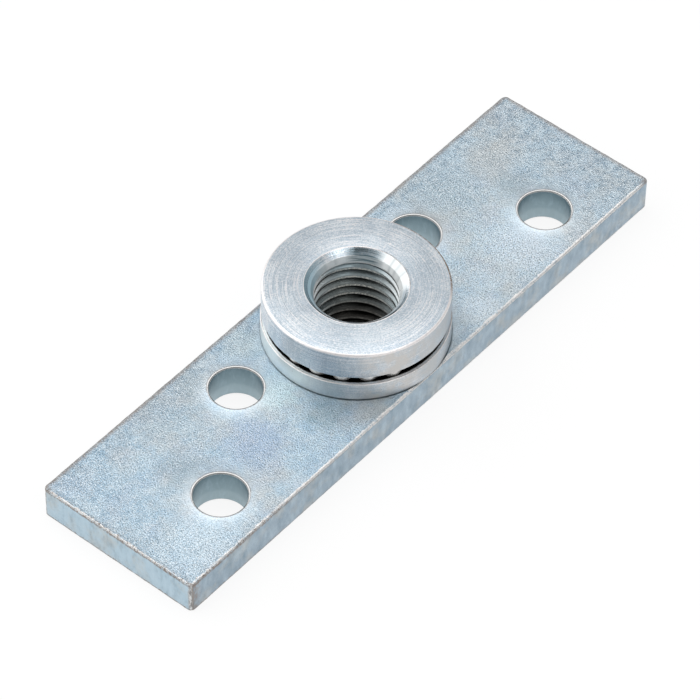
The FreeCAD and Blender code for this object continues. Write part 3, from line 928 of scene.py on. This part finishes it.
class Mesh:
    """Mesh in the making, in millimetres."""

    def __init__(self) -> None:
        """Starts empty."""
        self.bm = bmesh.new()

    def ring(self, points: Iterable[tuple[float, float, float]]) -> Loop:
        """Vertices of one closed loop."""
        return [self.bm.verts.new(point) for point in points]

    def skin(self, lower: Loop, upper: Loop) -> None:
        """Quads between two closed loops of equal length.

        Args:
            lower: First loop.
            upper: Second loop.
        """
        count = len(lower)
        for k in range(count):
            j = (k + 1) % count
            self.bm.faces.new((lower[k], lower[j], upper[j], upper[k]))

    def lathe(self, profile: Profile, closed: bool, segments: int, centre: Spot = (0.0, 0.0)) -> list[Loop]:
        """Turns a profile about a vertical axis.

        Args:
            profile: Radius and height of each point.
            closed: Whether the last point joins the first.
            segments: Steps round the axis.
            centre: Where the axis stands.

        Returns:
            The loops of vertices, one for each point.
        """
        turns = [math.tau * k / segments for k in range(segments)]
        loops = [self.ring((centre[0] + radius * math.cos(t), centre[1] + radius * math.sin(t), height)
                           for t in turns) for radius, height in profile]
        pairs = list(zip(loops, loops[1:])) + ([(loops[-1], loops[0])] if closed else [])
        for lower, upper in pairs:
            self.skin(lower, upper)
        return loops

    def fill(self, loops: Sequence[Loop]) -> None:
        """Closes the flat area between an outer loop and the loops inside it.

        Args:
            loops: The loops, in one plane.
        """
        edges = [self.bm.edges.get((loop[k], loop[(k + 1) % len(loop)])) for loop in loops
                 for k in range(len(loop))]
        bmesh.ops.triangle_fill(self.bm, use_beauty=True, use_dissolve=False, edges=edges)

    def piece(self, name: str, material: bpy.types.Material, flat: Optional[Callable] = None,
              crease: float = 28.0) -> bpy.types.Object:
        """Finished object with its creases marked, in metres.

        Args:
            name: Name of the piece.
            material: Its finish.
            flat: Test for faces that keep their own shading from their neighbours.
            crease: Angle in degrees past which an edge is sharp.

        Returns:
            The linked object, at the origin.
        """
        bm = self.bm
        bmesh.ops.remove_doubles(bm, verts=bm.verts, dist=WELD)
        bmesh.ops.dissolve_degenerate(bm, edges=bm.edges, dist=SPECK)
        bmesh.ops.recalc_face_normals(bm, faces=bm.faces)
        limit = math.radians(crease)
        for face in bm.faces:
            face.smooth = True
        for edge in bm.edges:
            sides = edge.link_faces
            apart = len(sides) == 2 and flat is not None and flat(sides[0]) != flat(sides[1])
            edge.smooth = len(sides) == 2 and edge.calc_face_angle(0.0) < limit and not apart
        bmesh.ops.scale(bm, vec=(MM, MM, MM), verts=bm.verts)
        mesh = bpy.data.meshes.new(name)
        bm.to_mesh(mesh)
        bm.free()
        mesh.materials.append(material)
        return in_scene(name, mesh)


def rounded(points: Sequence[tuple[float, float, float]], steps: int = 5) -> Profile:
    """Closed or open profile with an arc at each corner that has a radius.

    Args:
        points: Radius, height and corner radius of each point.
        steps: Steps in each arc.

    Returns:
        The profile with its arcs.
    """
    result: Profile = []
    count = len(points)
    for k, (r, z, corner) in enumerate(points):
        if corner <= 0.0:
            result.append((r, z))
            continue
        here = Vector((r, z))
        before = (Vector(points[k - 1][:2]) - here).normalized()
        after = (Vector(points[(k + 1) % count][:2]) - here).normalized()
        half = before.angle(after) / 2
        reach = corner / math.tan(half)
        centre = here + (before + after).normalized() * corner / math.sin(half)
        start, end = here + before * reach - centre, here + after * reach - centre
        for j in range(steps + 1):
            result.append(tuple(centre + start.slerp(end, j / steps).normalized() * corner))
    return result


def settle(obj: bpy.types.Object, body: Body, nodes: Sequence[str]) -> bpy.types.Object:
    """Puts a finished piece on its body in place of its nodes.

    Args:
        obj: The piece.
        body: What it rides on.
        nodes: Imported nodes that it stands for.

    Returns:
        The same object.
    """
    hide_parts(*nodes)
    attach(obj, body.value)
    LOG.info("%s: %d faces on %s", obj.name, len(obj.data.polygons), body.value)
    return obj


class GeometryTree(Nodes):
    """Geometry Nodes tree with named inputs, used once and turned into a plain mesh."""

    def __init__(self, name: str) -> None:
        """Makes the tree with its geometry socket and its group input and output.

        Args:
            name: Name of the tree.
        """
        self.group = bpy.data.node_groups.new(name, "GeometryNodeTree")
        super().__init__(self.group)
        self.group.interface.new_socket("Geometry", in_out="OUTPUT", socket_type="NodeSocketGeometry")
        self.entry = self.add("NodeGroupInput")
        self.leave = self.add("NodeGroupOutput")
        self.values: dict[str, object] = {}

    def size(self, name: str, value: Union[float, int]) -> bpy.types.NodeSocket:
        """Named input of the tree.

        Args:
            name: Its name.
            value: Value that it is used with.

        Returns:
            The input, as an output of the tree's first node.
        """
        kind = "NodeSocketInt" if isinstance(value, int) else "NodeSocketFloat"
        socket = self.group.interface.new_socket(name, in_out="INPUT", socket_type=kind)
        self.values[socket.identifier] = value
        return self.entry.outputs[name]

    def round_place(self, radius: Value, turn: Value, height: Value) -> bpy.types.NodeSocket:
        """Place at a radius, an angle and a height."""
        across = [self.times(radius, self.math(name, turn)) for name in ("COSINE", "SINE")]
        return self.add("ShaderNodeCombineXYZ", {0: across[0], 1: across[1], 2: height}).outputs[0]

    def close(self, geometry: Value, material: bpy.types.Material) -> None:
        """Ends the tree in Realize Instances and Set Material.

        Args:
            geometry: What the tree makes.
            material: Its finish.
        """
        real = self.add("GeometryNodeRealizeInstances", {"Geometry": geometry}).outputs[0]
        dressed = self.add("GeometryNodeSetMaterial", {"Geometry": real}).outputs[0]
        dressed.node.inputs["Material"].default_value = material
        self.feed(self.leave.inputs[0], dressed)

    def mesh(self) -> bpy.types.Mesh:
        """Runs the tree with its own values.

        Returns:
            The plain mesh that it makes.
        """
        holder = in_scene(self.group.name, bpy.data.meshes.new(self.group.name))
        modifier = holder.modifiers.new("nodes", "NODES")
        modifier.node_group = self.group
        for identifier, value in self.values.items():
            modifier[identifier] = value
        bpy.context.view_layer.update()
        evaluated = holder.evaluated_get(bpy.context.evaluated_depsgraph_get())
        mesh = bpy.data.meshes.new_from_object(evaluated)
        bpy.data.objects.remove(holder)
        return mesh


@dataclass
class MountingPlate:
    """Flat bar with worn edges, four screw holes and the neck's bore."""

    half_length: float = 59.5
    half_width: float = 15.9
    thickness: float = 6.5
    edge_round: float = 0.3
    corner_round: float = 0.9
    holes: tuple[Spot, ...] = ((-23.0, 6.4), (23.0, 6.4), (-42.0, -6.8), (42.0, -6.8))
    hole_radius: float = 4.5
    hole_rim: float = 0.28
    neck_bore: float = 10.08
    race_radius: float = 15.95
    recess_radius: float = 13.0
    recess_depth: float = 2.6
    edge_step: float = 0.7
    wear: float = 0.05
    segments: int = 72
    arc_steps: int = 5

    def outline(self) -> list[tuple[Vector, Vector]]:
        """Works out the perimeter inside the corner rounds.

        Returns:
            Points with the outward direction at each.
        """
        a, b = self.half_length - self.corner_round, self.half_width - self.corner_round
        corners = [(a, b, 0.0), (-a, b, 90.0), (-a, -b, 180.0), (a, -b, 270.0)]
        places: list[tuple[Vector, Vector]] = []
        for k, (x, y, turn) in enumerate(corners):
            for j in range(self.arc_steps + 1):
                angle = math.radians(turn + 90.0 * j / self.arc_steps)
                places.append((Vector((x, y)), Vector((math.cos(angle), math.sin(angle)))))
            nx, ny, _ = corners[(k + 1) % 4]
            here, there = Vector((x, y)), Vector((nx, ny))
            steps = max(2, round((there - here).length / self.edge_step))
            way = places[-1][1]
            places += [(here.lerp(there, j / steps), way) for j in range(1, steps)]
        return places

    def quarter(self) -> list[float]:
        """Angles of the points on a quarter round."""
        return [math.radians(90.0 * j / self.arc_steps) for j in range(self.arc_steps + 1)]

    def levels(self) -> list[tuple[float, float, float]]:
        """Works out the loops of the outer wall, from the underside to the top.

        Returns:
            Height, inset and share of edge wear of each.
        """
        r, t = self.edge_round, self.thickness
        low = [(r * (1 - math.sin(a)), r * (1 - math.cos(a)), math.sin(2 * a)) for a in reversed(self.quarter())]
        walls = [(t * share, 0.0, 0.0) for share in (0.3, 0.5, 0.7)]
        high = [(t - z, inset, wear) for z, inset, wear in reversed(low)]
        return low + walls + high

    def outer_wall(self, mesh: Mesh) -> tuple[Loop, Loop]:
        """Builds the outer wall with its unevenly rubbed edges.

        Args:
            mesh: The bar's mesh.

        Returns:
            The wall's lowest and highest loop.
        """
        places = self.outline()
        loops = []
        for height, inset, wear in self.levels():
            inward = 1.0 if height < self.thickness / 2 else -1.0
            points = []
            for base, way in places:
                point = base + way * (self.corner_round - inset)
                spot = Vector((point.x, point.y, height * 2.0))
                rub = self.wear * wear * (0.5 + noise.noise(spot * 0.9) + 0.6 * noise.noise(spot * 2.3))
                rub = max(0.0, rub)
                points.append((point.x - way.x * rub, point.y - way.y * rub, height + inward * rub))
            loops.append(mesh.ring(points))
        for lower, upper in zip(loops, loops[1:]):
            mesh.skin(lower, upper)
        return loops[0], loops[-1]

    def inner_walls(self, mesh: Mesh) -> list[tuple[Loop, Loop]]:
        """Builds the walls of the screw holes, and of the washer's recess with the neck's bore.

        Args:
            mesh: The bar's mesh.

        Returns:
            The lowest and the highest loop of each.
        """
        rim, t = self.hole_rim, self.thickness
        low = [(self.hole_radius + rim * (1 - math.sin(a)), rim * (1 - math.cos(a))) for a in self.quarter()]
        wall = low + [(radius, t - height) for radius, height in reversed(low)]
        walls = [mesh.lathe(wall, False, self.segments, hole) for hole in self.holes]
        bore = [(self.recess_radius, 0.0), (self.recess_radius, self.recess_depth),
                (self.neck_bore, self.recess_depth), (self.neck_bore, t)]
        walls.append(mesh.lathe(bore, False, self.segments * 2))
        return [(loops[0], loops[-1]) for loops in walls]

    def build(self) -> bpy.types.Object:
        """Builds the bar's mesh and dresses it.

        Returns:
            The piece.
        """
        mesh = Mesh()
        walls = [self.outer_wall(mesh), *self.inner_walls(mesh)]
        for loops in zip(*walls):
            mesh.fill(loops)
        finish = RolledZinc(self.half_length, self.half_width, self.thickness, self.holes, self.hole_radius,
                            self.race_radius)
        obj = mesh.piece("mounting_bar", finish.material(), flat=lambda face: abs(face.normal.z) > 0.999)
        return settle(obj, Body.PLATE, ["mounting_plate"])


@dataclass
class Bearing:
    """Lower race and the balls on it."""

    race_radius: float = 15.95
    race_foot: float = 6.5
    race_top: float = 10.2
    race_bore: float = 10.08
    foot_break: float = 0.12
    edge_break: float = 0.16
    groove_radius: float = 2.06388
    ball_circle: float = 13.3
    ball_radius: float = 1.9845
    ball_height: float = 10.925
    ball_clearance: float = 0.02
    ball_count: int = 20
    first_angle: float = -83.0
    ball_spacing: float = 0.0225
    segments: int = 224
    arc_steps: int = 4
    ball_segments: int = 48
    ball_rings: int = 24

    def groove(self, upward: bool, level: float, steps: int = 14) -> Profile:
        """Groove arc from the outer lip to the inner one, where it cuts a flat face.

        Args:
            upward: Whether the groove opens upwards, as in the lower race.
            level: Height of the flat face.
            steps: Steps in the arc.

        Returns:
            Radius and height of each point, from the outer lip inwards.
        """
        rise = self.groove_radius - self.ball_radius - self.ball_clearance
        side = 1.0 if upward else -1.0
        centre = self.ball_height + side * rise
        half = math.acos((centre - level) * side / self.groove_radius)
        return [(self.ball_circle + self.groove_radius * math.sin(half * (1 - 2 * j / steps)),
                 centre - side * self.groove_radius * math.cos(half * (1 - 2 * j / steps)))
                for j in range(steps + 1)]

    def build_race(self, finish: bpy.types.Material) -> bpy.types.Object:
        """Builds the lower race.

        Args:
            finish: Its material.

        Returns:
            The piece.
        """
        outline = rounded([(self.race_bore, self.race_foot, 0.0), (self.race_radius, self.race_foot, self.foot_break),
                           (self.race_radius, self.race_top, self.edge_break)], self.arc_steps)
        arc = self.groove(True, self.race_top)
        mesh = Mesh()
        mesh.lathe(outline + arc + [(self.race_bore, self.race_top)], True, self.segments)
        obj = mesh.piece("race_ring", finish)
        return settle(obj, Body.PLATE, ["lower_race"])

    def build_balls(self, finish: bpy.types.Material) -> bpy.types.Object:
        """Builds the set of balls round the circle with Geometry Nodes.

        Args:
            finish: Their material.

        Returns:
            The piece.
        """
        g = GeometryTree("ball_ring")
        count = g.size("Count", self.ball_count)
        first = g.size("First angle", math.radians(self.first_angle))
        chord = (self.ball_radius + self.ball_spacing / 2) / self.ball_circle
        pitch = g.size("Pitch angle", 2 * math.asin(chord))
        circle = g.size("Circle radius", self.ball_circle * MM)
        height = g.size("Height", self.ball_height * MM)
        radius = g.size("Ball radius", self.ball_radius * MM)
        index = g.add("GeometryNodeInputIndex").outputs[0]
        spot = g.round_place(circle, g.plus(first, g.times(index, pitch)), height)
        points = g.add("GeometryNodePoints", {"Count": count, "Position": spot}).outputs[0]
        ball = g.add("GeometryNodeMeshUVSphere", {"Segments": self.ball_segments, "Rings": self.ball_rings,
                                                  "Radius": radius}).outputs[0]
        round_ball = g.add("GeometryNodeSetShadeSmooth", {0: ball}).outputs[0]
        placed = g.add("GeometryNodeInstanceOnPoints", {"Points": points, "Instance": round_ball}).outputs[0]
        g.close(placed, finish)
        obj = in_scene("bearing_balls", g.mesh())
        names = [f"ball_{number:02d}" for number in range(1, self.ball_count + 1)]
        return settle(obj, Body.BALLS, names)


@dataclass
class SwivelCollar:
    """Threaded collar with its neck, and the washer that keeps it in the plate."""

    bearing: Bearing = field(default_factory=Bearing)
    top: float = 17.05
    flange_foot: float = 11.65
    radius: float = 15.8
    neck_radius: float = 10.0
    shoulder: float = 2.45
    washer_foot: float = 1.25
    lip_foot: float = 0.15
    spigot_radius: float = 9.2
    lip_radius: float = 10.4
    minor_radius: float = 7.05
    major_radius: float = 8.0
    pitch: float = 2.0
    mouth_radius: float = 8.75
    mouth_depth: float = 1.0
    lead_radius: float = 7.6
    lead_depth: float = 1.4
    exit_radius: float = 7.15
    exit_depth: float = 0.1
    thread_start: float = 0.62
    thread_top: float = 15.0
    run_out: float = 1.5
    lip_round: float = 0.35
    flange_foot_round: float = 0.15
    top_round: float = 0.42
    mouth_round: float = 0.03
    lead_round: float = 0.15
    segments: int = 256
    arc_steps: int = 4
    flank_rows: int = 4
    washer_radius: float = 12.5
    washer_bore: float = 9.25
    washer_round: float = 0.15
    washer_segments: int = 144
    washer_arc_steps: int = 3

    def lead_at(self, height: float) -> float:
        """Radius of the lead-in cone at a height."""
        fall = self.top - self.mouth_depth - height
        return self.lead_radius - fall * (self.lead_radius - self.minor_radius) / self.lead_depth

    def thread(self, finish: bpy.types.Material) -> bpy.types.Mesh:
        """Makes the threaded bore as a grid that follows the helix, with Geometry Nodes.

        Args:
            finish: Its material.

        Returns:
            The bore's mesh, in millimetres.
        """
        g = GeometryTree("threaded_bore")
        steps = g.size("Steps per turn", self.segments)
        turns = g.size("Turns", math.ceil((self.thread_top - self.lip_foot) / self.pitch) + 2)
        start = g.size("Start of the thread", self.thread_start)
        pitch = g.size("Pitch", self.pitch)
        root_half = g.size("Half root width", self.pitch / 16)
        flank_run = g.size("Flank height", (self.major_radius - self.minor_radius) / math.sqrt(3.0))
        foot = g.size("Foot", self.lip_foot)
        top = g.size("Top", self.thread_top)
        run_out = g.size("Run-out", self.run_out)
        minor = g.size("Minor radius", self.minor_radius)
        major = g.size("Major radius", self.major_radius)
        lead = g.size("Lead radius at the top", self.lead_at(self.thread_top))
        slope = g.size("Lead slope", (self.lead_radius - self.minor_radius) / self.lead_depth)
        leave = g.size("Exit radius", self.exit_radius)
        leave_depth = g.size("Exit depth", self.exit_depth)

        # Each side of the root has one row for the root, several for the flank and one for the crest
        side_rows = self.flank_rows + 2
        turn_rows = 2 * side_rows
        grid = g.add("GeometryNodeMeshGrid", {"Size X": 1.0, "Size Y": 1.0, "Vertices X": g.plus(steps, 1),
                                              "Vertices Y": g.plus(g.times(turns, turn_rows), 1)})
        place = g.add("ShaderNodeSeparateXYZ", {0: g.add("GeometryNodeInputPosition").outputs[0]}).outputs
        around = g.plus(place[0], 0.5)
        row = g.math("ROUND", g.times(g.plus(place[1], 0.5), turns, turn_rows))
        turn_number = g.math("FLOOR", g.share(g.plus(row, 0.1), turn_rows))
        step = g.minus(g.minus(row, g.times(turn_number, turn_rows)), side_rows)
        away = g.size_of(step)
        crest_half = g.minus(g.share(pitch, 2.0), g.plus(root_half, flank_run))
        up_flank = g.share(g.minus(away, 1.0), self.flank_rows, clamp=True)
        on_crest = g.math("SUBTRACT", away, self.flank_rows + 1, clamp=True)
        off = g.plus(g.times(g.least(away, 1.0), root_half), g.times(up_flank, flank_run),
                     g.times(on_crest, crest_half))
        centre = g.plus(turn_number, around, g.minus(start, 1.5))
        free = g.plus(foot, g.times(centre, pitch), g.times(g.math("SIGN", step), off))
        level = g.least(g.most(free, foot), top)

        depth = g.minus(top, level)
        bite = g.times(g.minus(1.0, up_flank), g.share(depth, run_out, clamp=True))
        cut = g.plus(minor, g.times(bite, g.minus(major, minor)))
        lead_cone = g.minus(lead, g.times(depth, slope))
        fall = g.share(g.minus(leave, minor), leave_depth)
        exit_cone = g.minus(leave, g.times(g.minus(level, foot), fall))
        wall = g.most(lead_cone, exit_cone, cut)
        at_foot = g.math("LESS_THAN", free, g.plus(foot, SPECK))
        wall = g.plus(g.times(wall, g.minus(1.0, at_foot)), g.times(leave, at_foot))

        spot = g.round_place(wall, g.times(around, math.tau), level)
        moved = g.add("GeometryNodeSetPosition", {"Geometry": grid.outputs["Mesh"], "Position": spot}).outputs[0]
        joined = g.add("GeometryNodeMergeByDistance", {"Geometry": moved, "Distance": WELD}).outputs[0]
        g.close(joined, finish)
        return g.mesh()

    def build(self, finish: bpy.types.Material) -> bpy.types.Object:
        """Builds the collar with its thread.

        Args:
            finish: Its material.

        Returns:
            The piece.
        """
        mesh = Mesh()
        mesh.bm.from_mesh(self.thread(finish))
        foot = rounded([(self.exit_radius, self.lip_foot, 0.0), (self.lip_radius, self.lip_foot, self.lip_round),
                        (self.lip_radius, self.washer_foot, 0.0), (self.spigot_radius, self.washer_foot, 0.0),
                        (self.spigot_radius, self.shoulder, 0.0), (self.neck_radius, self.shoulder, 0.0),
                        (self.neck_radius, self.flange_foot, 0.0)])
        groove = list(reversed(self.bearing.groove(False, self.flange_foot)))
        rim = rounded([(self.ball_land(), self.flange_foot, 0.0),
                       (self.radius, self.flange_foot, self.flange_foot_round),
                       (self.radius, self.top, self.top_round), (self.mouth_radius, self.top, self.mouth_round),
                       (self.lead_radius, self.top - self.mouth_depth, self.lead_round),
                       (self.lead_at(self.thread_top), self.thread_top, 0.0)], self.arc_steps)
        mesh.lathe(foot + groove + rim[1:], False, self.segments)
        obj = mesh.piece("threaded_collar", finish)
        return settle(obj, Body.COLLAR, ["swivel_collar"])

    def finish(self) -> TurnedZinc:
        """Finish that the collar shares with the race."""
        return TurnedZinc(collar_top=self.top, collar_radius=self.radius, race_foot=self.bearing.race_foot,
                          race_top=self.bearing.race_top, race_radius=self.bearing.race_radius,
                          flange_foot=self.flange_foot, mouth_radius=self.mouth_radius, lead_radius=self.lead_radius,
                          lead_top=self.top - self.mouth_depth, thread_top=self.thread_top,
                          thread_foot=self.lip_foot, thread_start=self.thread_start, pitch=self.pitch)

    def ball_land(self) -> float:
        """Radius of the groove's outer lip in the flange."""
        return self.bearing.groove(False, self.flange_foot)[0][0]

    def build_washer(self, finish: bpy.types.Material) -> bpy.types.Object:
        """Builds the retaining washer.

        Args:
            finish: Its material.

        Returns:
            The piece.
        """
        outline = rounded([(self.washer_bore, self.washer_foot, 0.0),
                           (self.washer_radius, self.washer_foot, self.washer_round),
                           (self.washer_radius, self.shoulder, self.washer_round),
                           (self.washer_bore, self.shoulder, 0.0)], self.washer_arc_steps)
        mesh = Mesh()
        mesh.lathe(outline, True, self.washer_segments)
        obj = mesh.piece("keeper_washer", finish)
        return settle(obj, Body.COLLAR, ["retaining_washer"])


@dataclass(frozen=True)
class SoftBox:
    """Lamp that faces the part: its direction in degrees, its size in metres, and its radiance, where 1 is white.

    The azimuth runs from +X towards +Y and the elevation is the height above the floor.
    """

    name: str
    azimuth: float
    elevation: float
    width: float
    height: float
    level: float


@dataclass
class Studio:
    """Floor, lamps, sky and camera."""

    azimuth: float = -50.832
    elevation: float = 47.692
    roll: float = 1.097
    distance: float = 739.434
    focal_pixels: float = 4447.749
    image_pixels: float = 700.0
    shift_right: float = -0.905
    shift_up: float = -3.637
    aim_height: float = 6.5
    sensor: float = 36.0
    clip: tuple[float, float] = (0.01, 50.0)
    floor_size: float = 4.0
    floor_share: float = 0.12
    dark_spot: float = 9.0
    dark_fade: float = 1.1
    sky_low: float = 0.35
    sky_high: float = 0.80
    shade_cone: tuple[float, float] = (0.84, 0.97)
    shade_share: float = 0.25
    lamp_distance: float = 1.0
    boxes: tuple[SoftBox, ...] = (
        SoftBox("left_box", 118.0, 32.0, 1.8, 0.92, 1.22),
        SoftBox("right_box", -103.0, 47.0, 0.55, 0.55, 1.35),
        SoftBox("top_box", 39.0, 80.0, 0.9, 0.9, 1.1),
    )

    def axes(self) -> tuple[Vector, Vector, Vector]:
        """Works out how the camera stands before its roll.

        Returns:
            Directions to the picture's right, up and towards the camera.
        """
        a, e = math.radians(self.azimuth), math.radians(self.elevation)
        back = Vector((math.sin(a) * math.cos(e), -math.cos(a) * math.cos(e), math.sin(e)))
        right = (-back).cross(Vector((0, 0, 1))).normalized()
        return right, right.cross(-back), back

    def camera(self) -> None:
        """Camera at the photograph's place."""
        right, up, back = self.axes()
        roll = math.radians(self.roll)
        place = back * self.distance + right * self.shift_right + up * self.shift_up
        place.z += self.aim_height
        x = right * math.cos(roll) + up * math.sin(roll)
        y = up * math.cos(roll) - right * math.sin(roll)
        data = bpy.data.cameras.new("camera")
        data.sensor_width = self.sensor
        data.lens = self.focal_pixels / self.image_pixels * self.sensor
        data.clip_start, data.clip_end = self.clip
        obj = in_scene("camera", data)
        turn = Matrix((x, y, back)).transposed().to_4x4()
        obj.matrix_world = Matrix.Translation(place * MM) @ turn
        bpy.context.scene.camera = obj

    def floor(self) -> None:
        """Pale sheet under the part, which keeps its shadow and shows dark through the bore."""
        half = self.floor_size / 2
        mesh = bpy.data.meshes.new("floor")
        corners = [(-half, -half, 0), (half, -half, 0), (half, half, 0), (-half, half, 0)]
        mesh.from_pydata(corners, [], [(0, 1, 2, 3)])
        material = bpy.data.materials.new("floor")
        material.use_nodes = True
        nodes = Nodes(material.node_tree)
        path = nodes.add("ShaderNodeLightPath").outputs
        spot = nodes.length(nodes.add("ShaderNodeTexCoord").outputs["Object"])
        open_floor = nodes.remap(spot, self.dark_spot * MM, self.dark_spot * self.dark_fade * MM)
        seen = nodes.plus(nodes.times(path["Is Camera Ray"], open_floor), path["Is Glossy Ray"])
        seen = nodes.math("ADD", seen, path["Is Transmission Ray"], clamp=True)
        paper = nodes.add("ShaderNodeBsdfDiffuse", {"Color": (self.floor_share,) * 3 + (1.0,)})
        glow = nodes.add("ShaderNodeEmission", {"Strength": nodes.times(seen, 1.0 - self.floor_share)})
        surface = nodes.add("ShaderNodeAddShader", {0: paper.outputs[0], 1: glow.outputs[0]})
        nodes.add("ShaderNodeOutputMaterial", {"Surface": surface.outputs[0]})
        mesh.materials.append(material)
        obj = in_scene("floor", mesh)

    def lamp(self, box: SoftBox) -> None:
        """Hangs one soft box, facing the part.

        Args:
            box: The lamp.
        """
        data = bpy.data.lights.new(box.name, "AREA")
        data.shape = "RECTANGLE"
        data.size, data.size_y = box.width, box.height
        data.energy = box.level * math.pi * box.width * box.height
        a, e = math.radians(box.azimuth), math.radians(box.elevation)
        way = Vector((math.cos(a) * math.cos(e), math.sin(a) * math.cos(e), math.sin(e)))
        obj = in_scene(box.name, data)
        obj.location = way * self.lamp_distance
        obj.rotation_euler = way.to_track_quat("Z", "Y").to_euler()

    def sky(self) -> None:
        """Pale surround, dimmer towards the floor and where the photographer stands."""
        world = bpy.data.worlds.new("surround")
        bpy.context.scene.world = world
        world.use_nodes = True
        nodes = Nodes(world.node_tree)
        way = nodes.add("ShaderNodeTexCoord").outputs["Generated"]
        height = nodes.add("ShaderNodeSeparateXYZ", {0: way}).outputs[2]
        strength = nodes.remap(height, 0.0, 1.0, (self.sky_low, self.sky_high))
        facing = nodes.dot(way, tuple(self.axes()[2]))
        shade = nodes.remap(facing, *self.shade_cone, (1.0, self.shade_share), smooth=True)
        strength = nodes.times(strength, shade)
        back = nodes.add("ShaderNodeBackground", {"Color": (1.0, 1.0, 1.0, 1.0), "Strength": strength})
        nodes.add("ShaderNodeOutputWorld", {"Surface": back.outputs[0]})

    def build(self) -> None:
        """Sets up the whole studio."""
        self.camera()
        self.floor()
        self.sky()
        for box in self.boxes:
            self.lamp(box)
        bpy.context.scene.view_settings.view_transform = "Standard"


def main() -> None:
    logging.basicConfig(level=logging.INFO, format="%(name)s: %(message)s")
    bearing = Bearing()
    collar = SwivelCollar(bearing=bearing)
    turned = collar.finish().material()
    steel = BallSteel().material()
    MountingPlate().build()
    bearing.build_race(turned)
    bearing.build_balls(steel)
    collar.build(turned)
    collar.build_washer(PressedZinc().material())
    Studio().build()


if __name__ == "__main__":
    main()
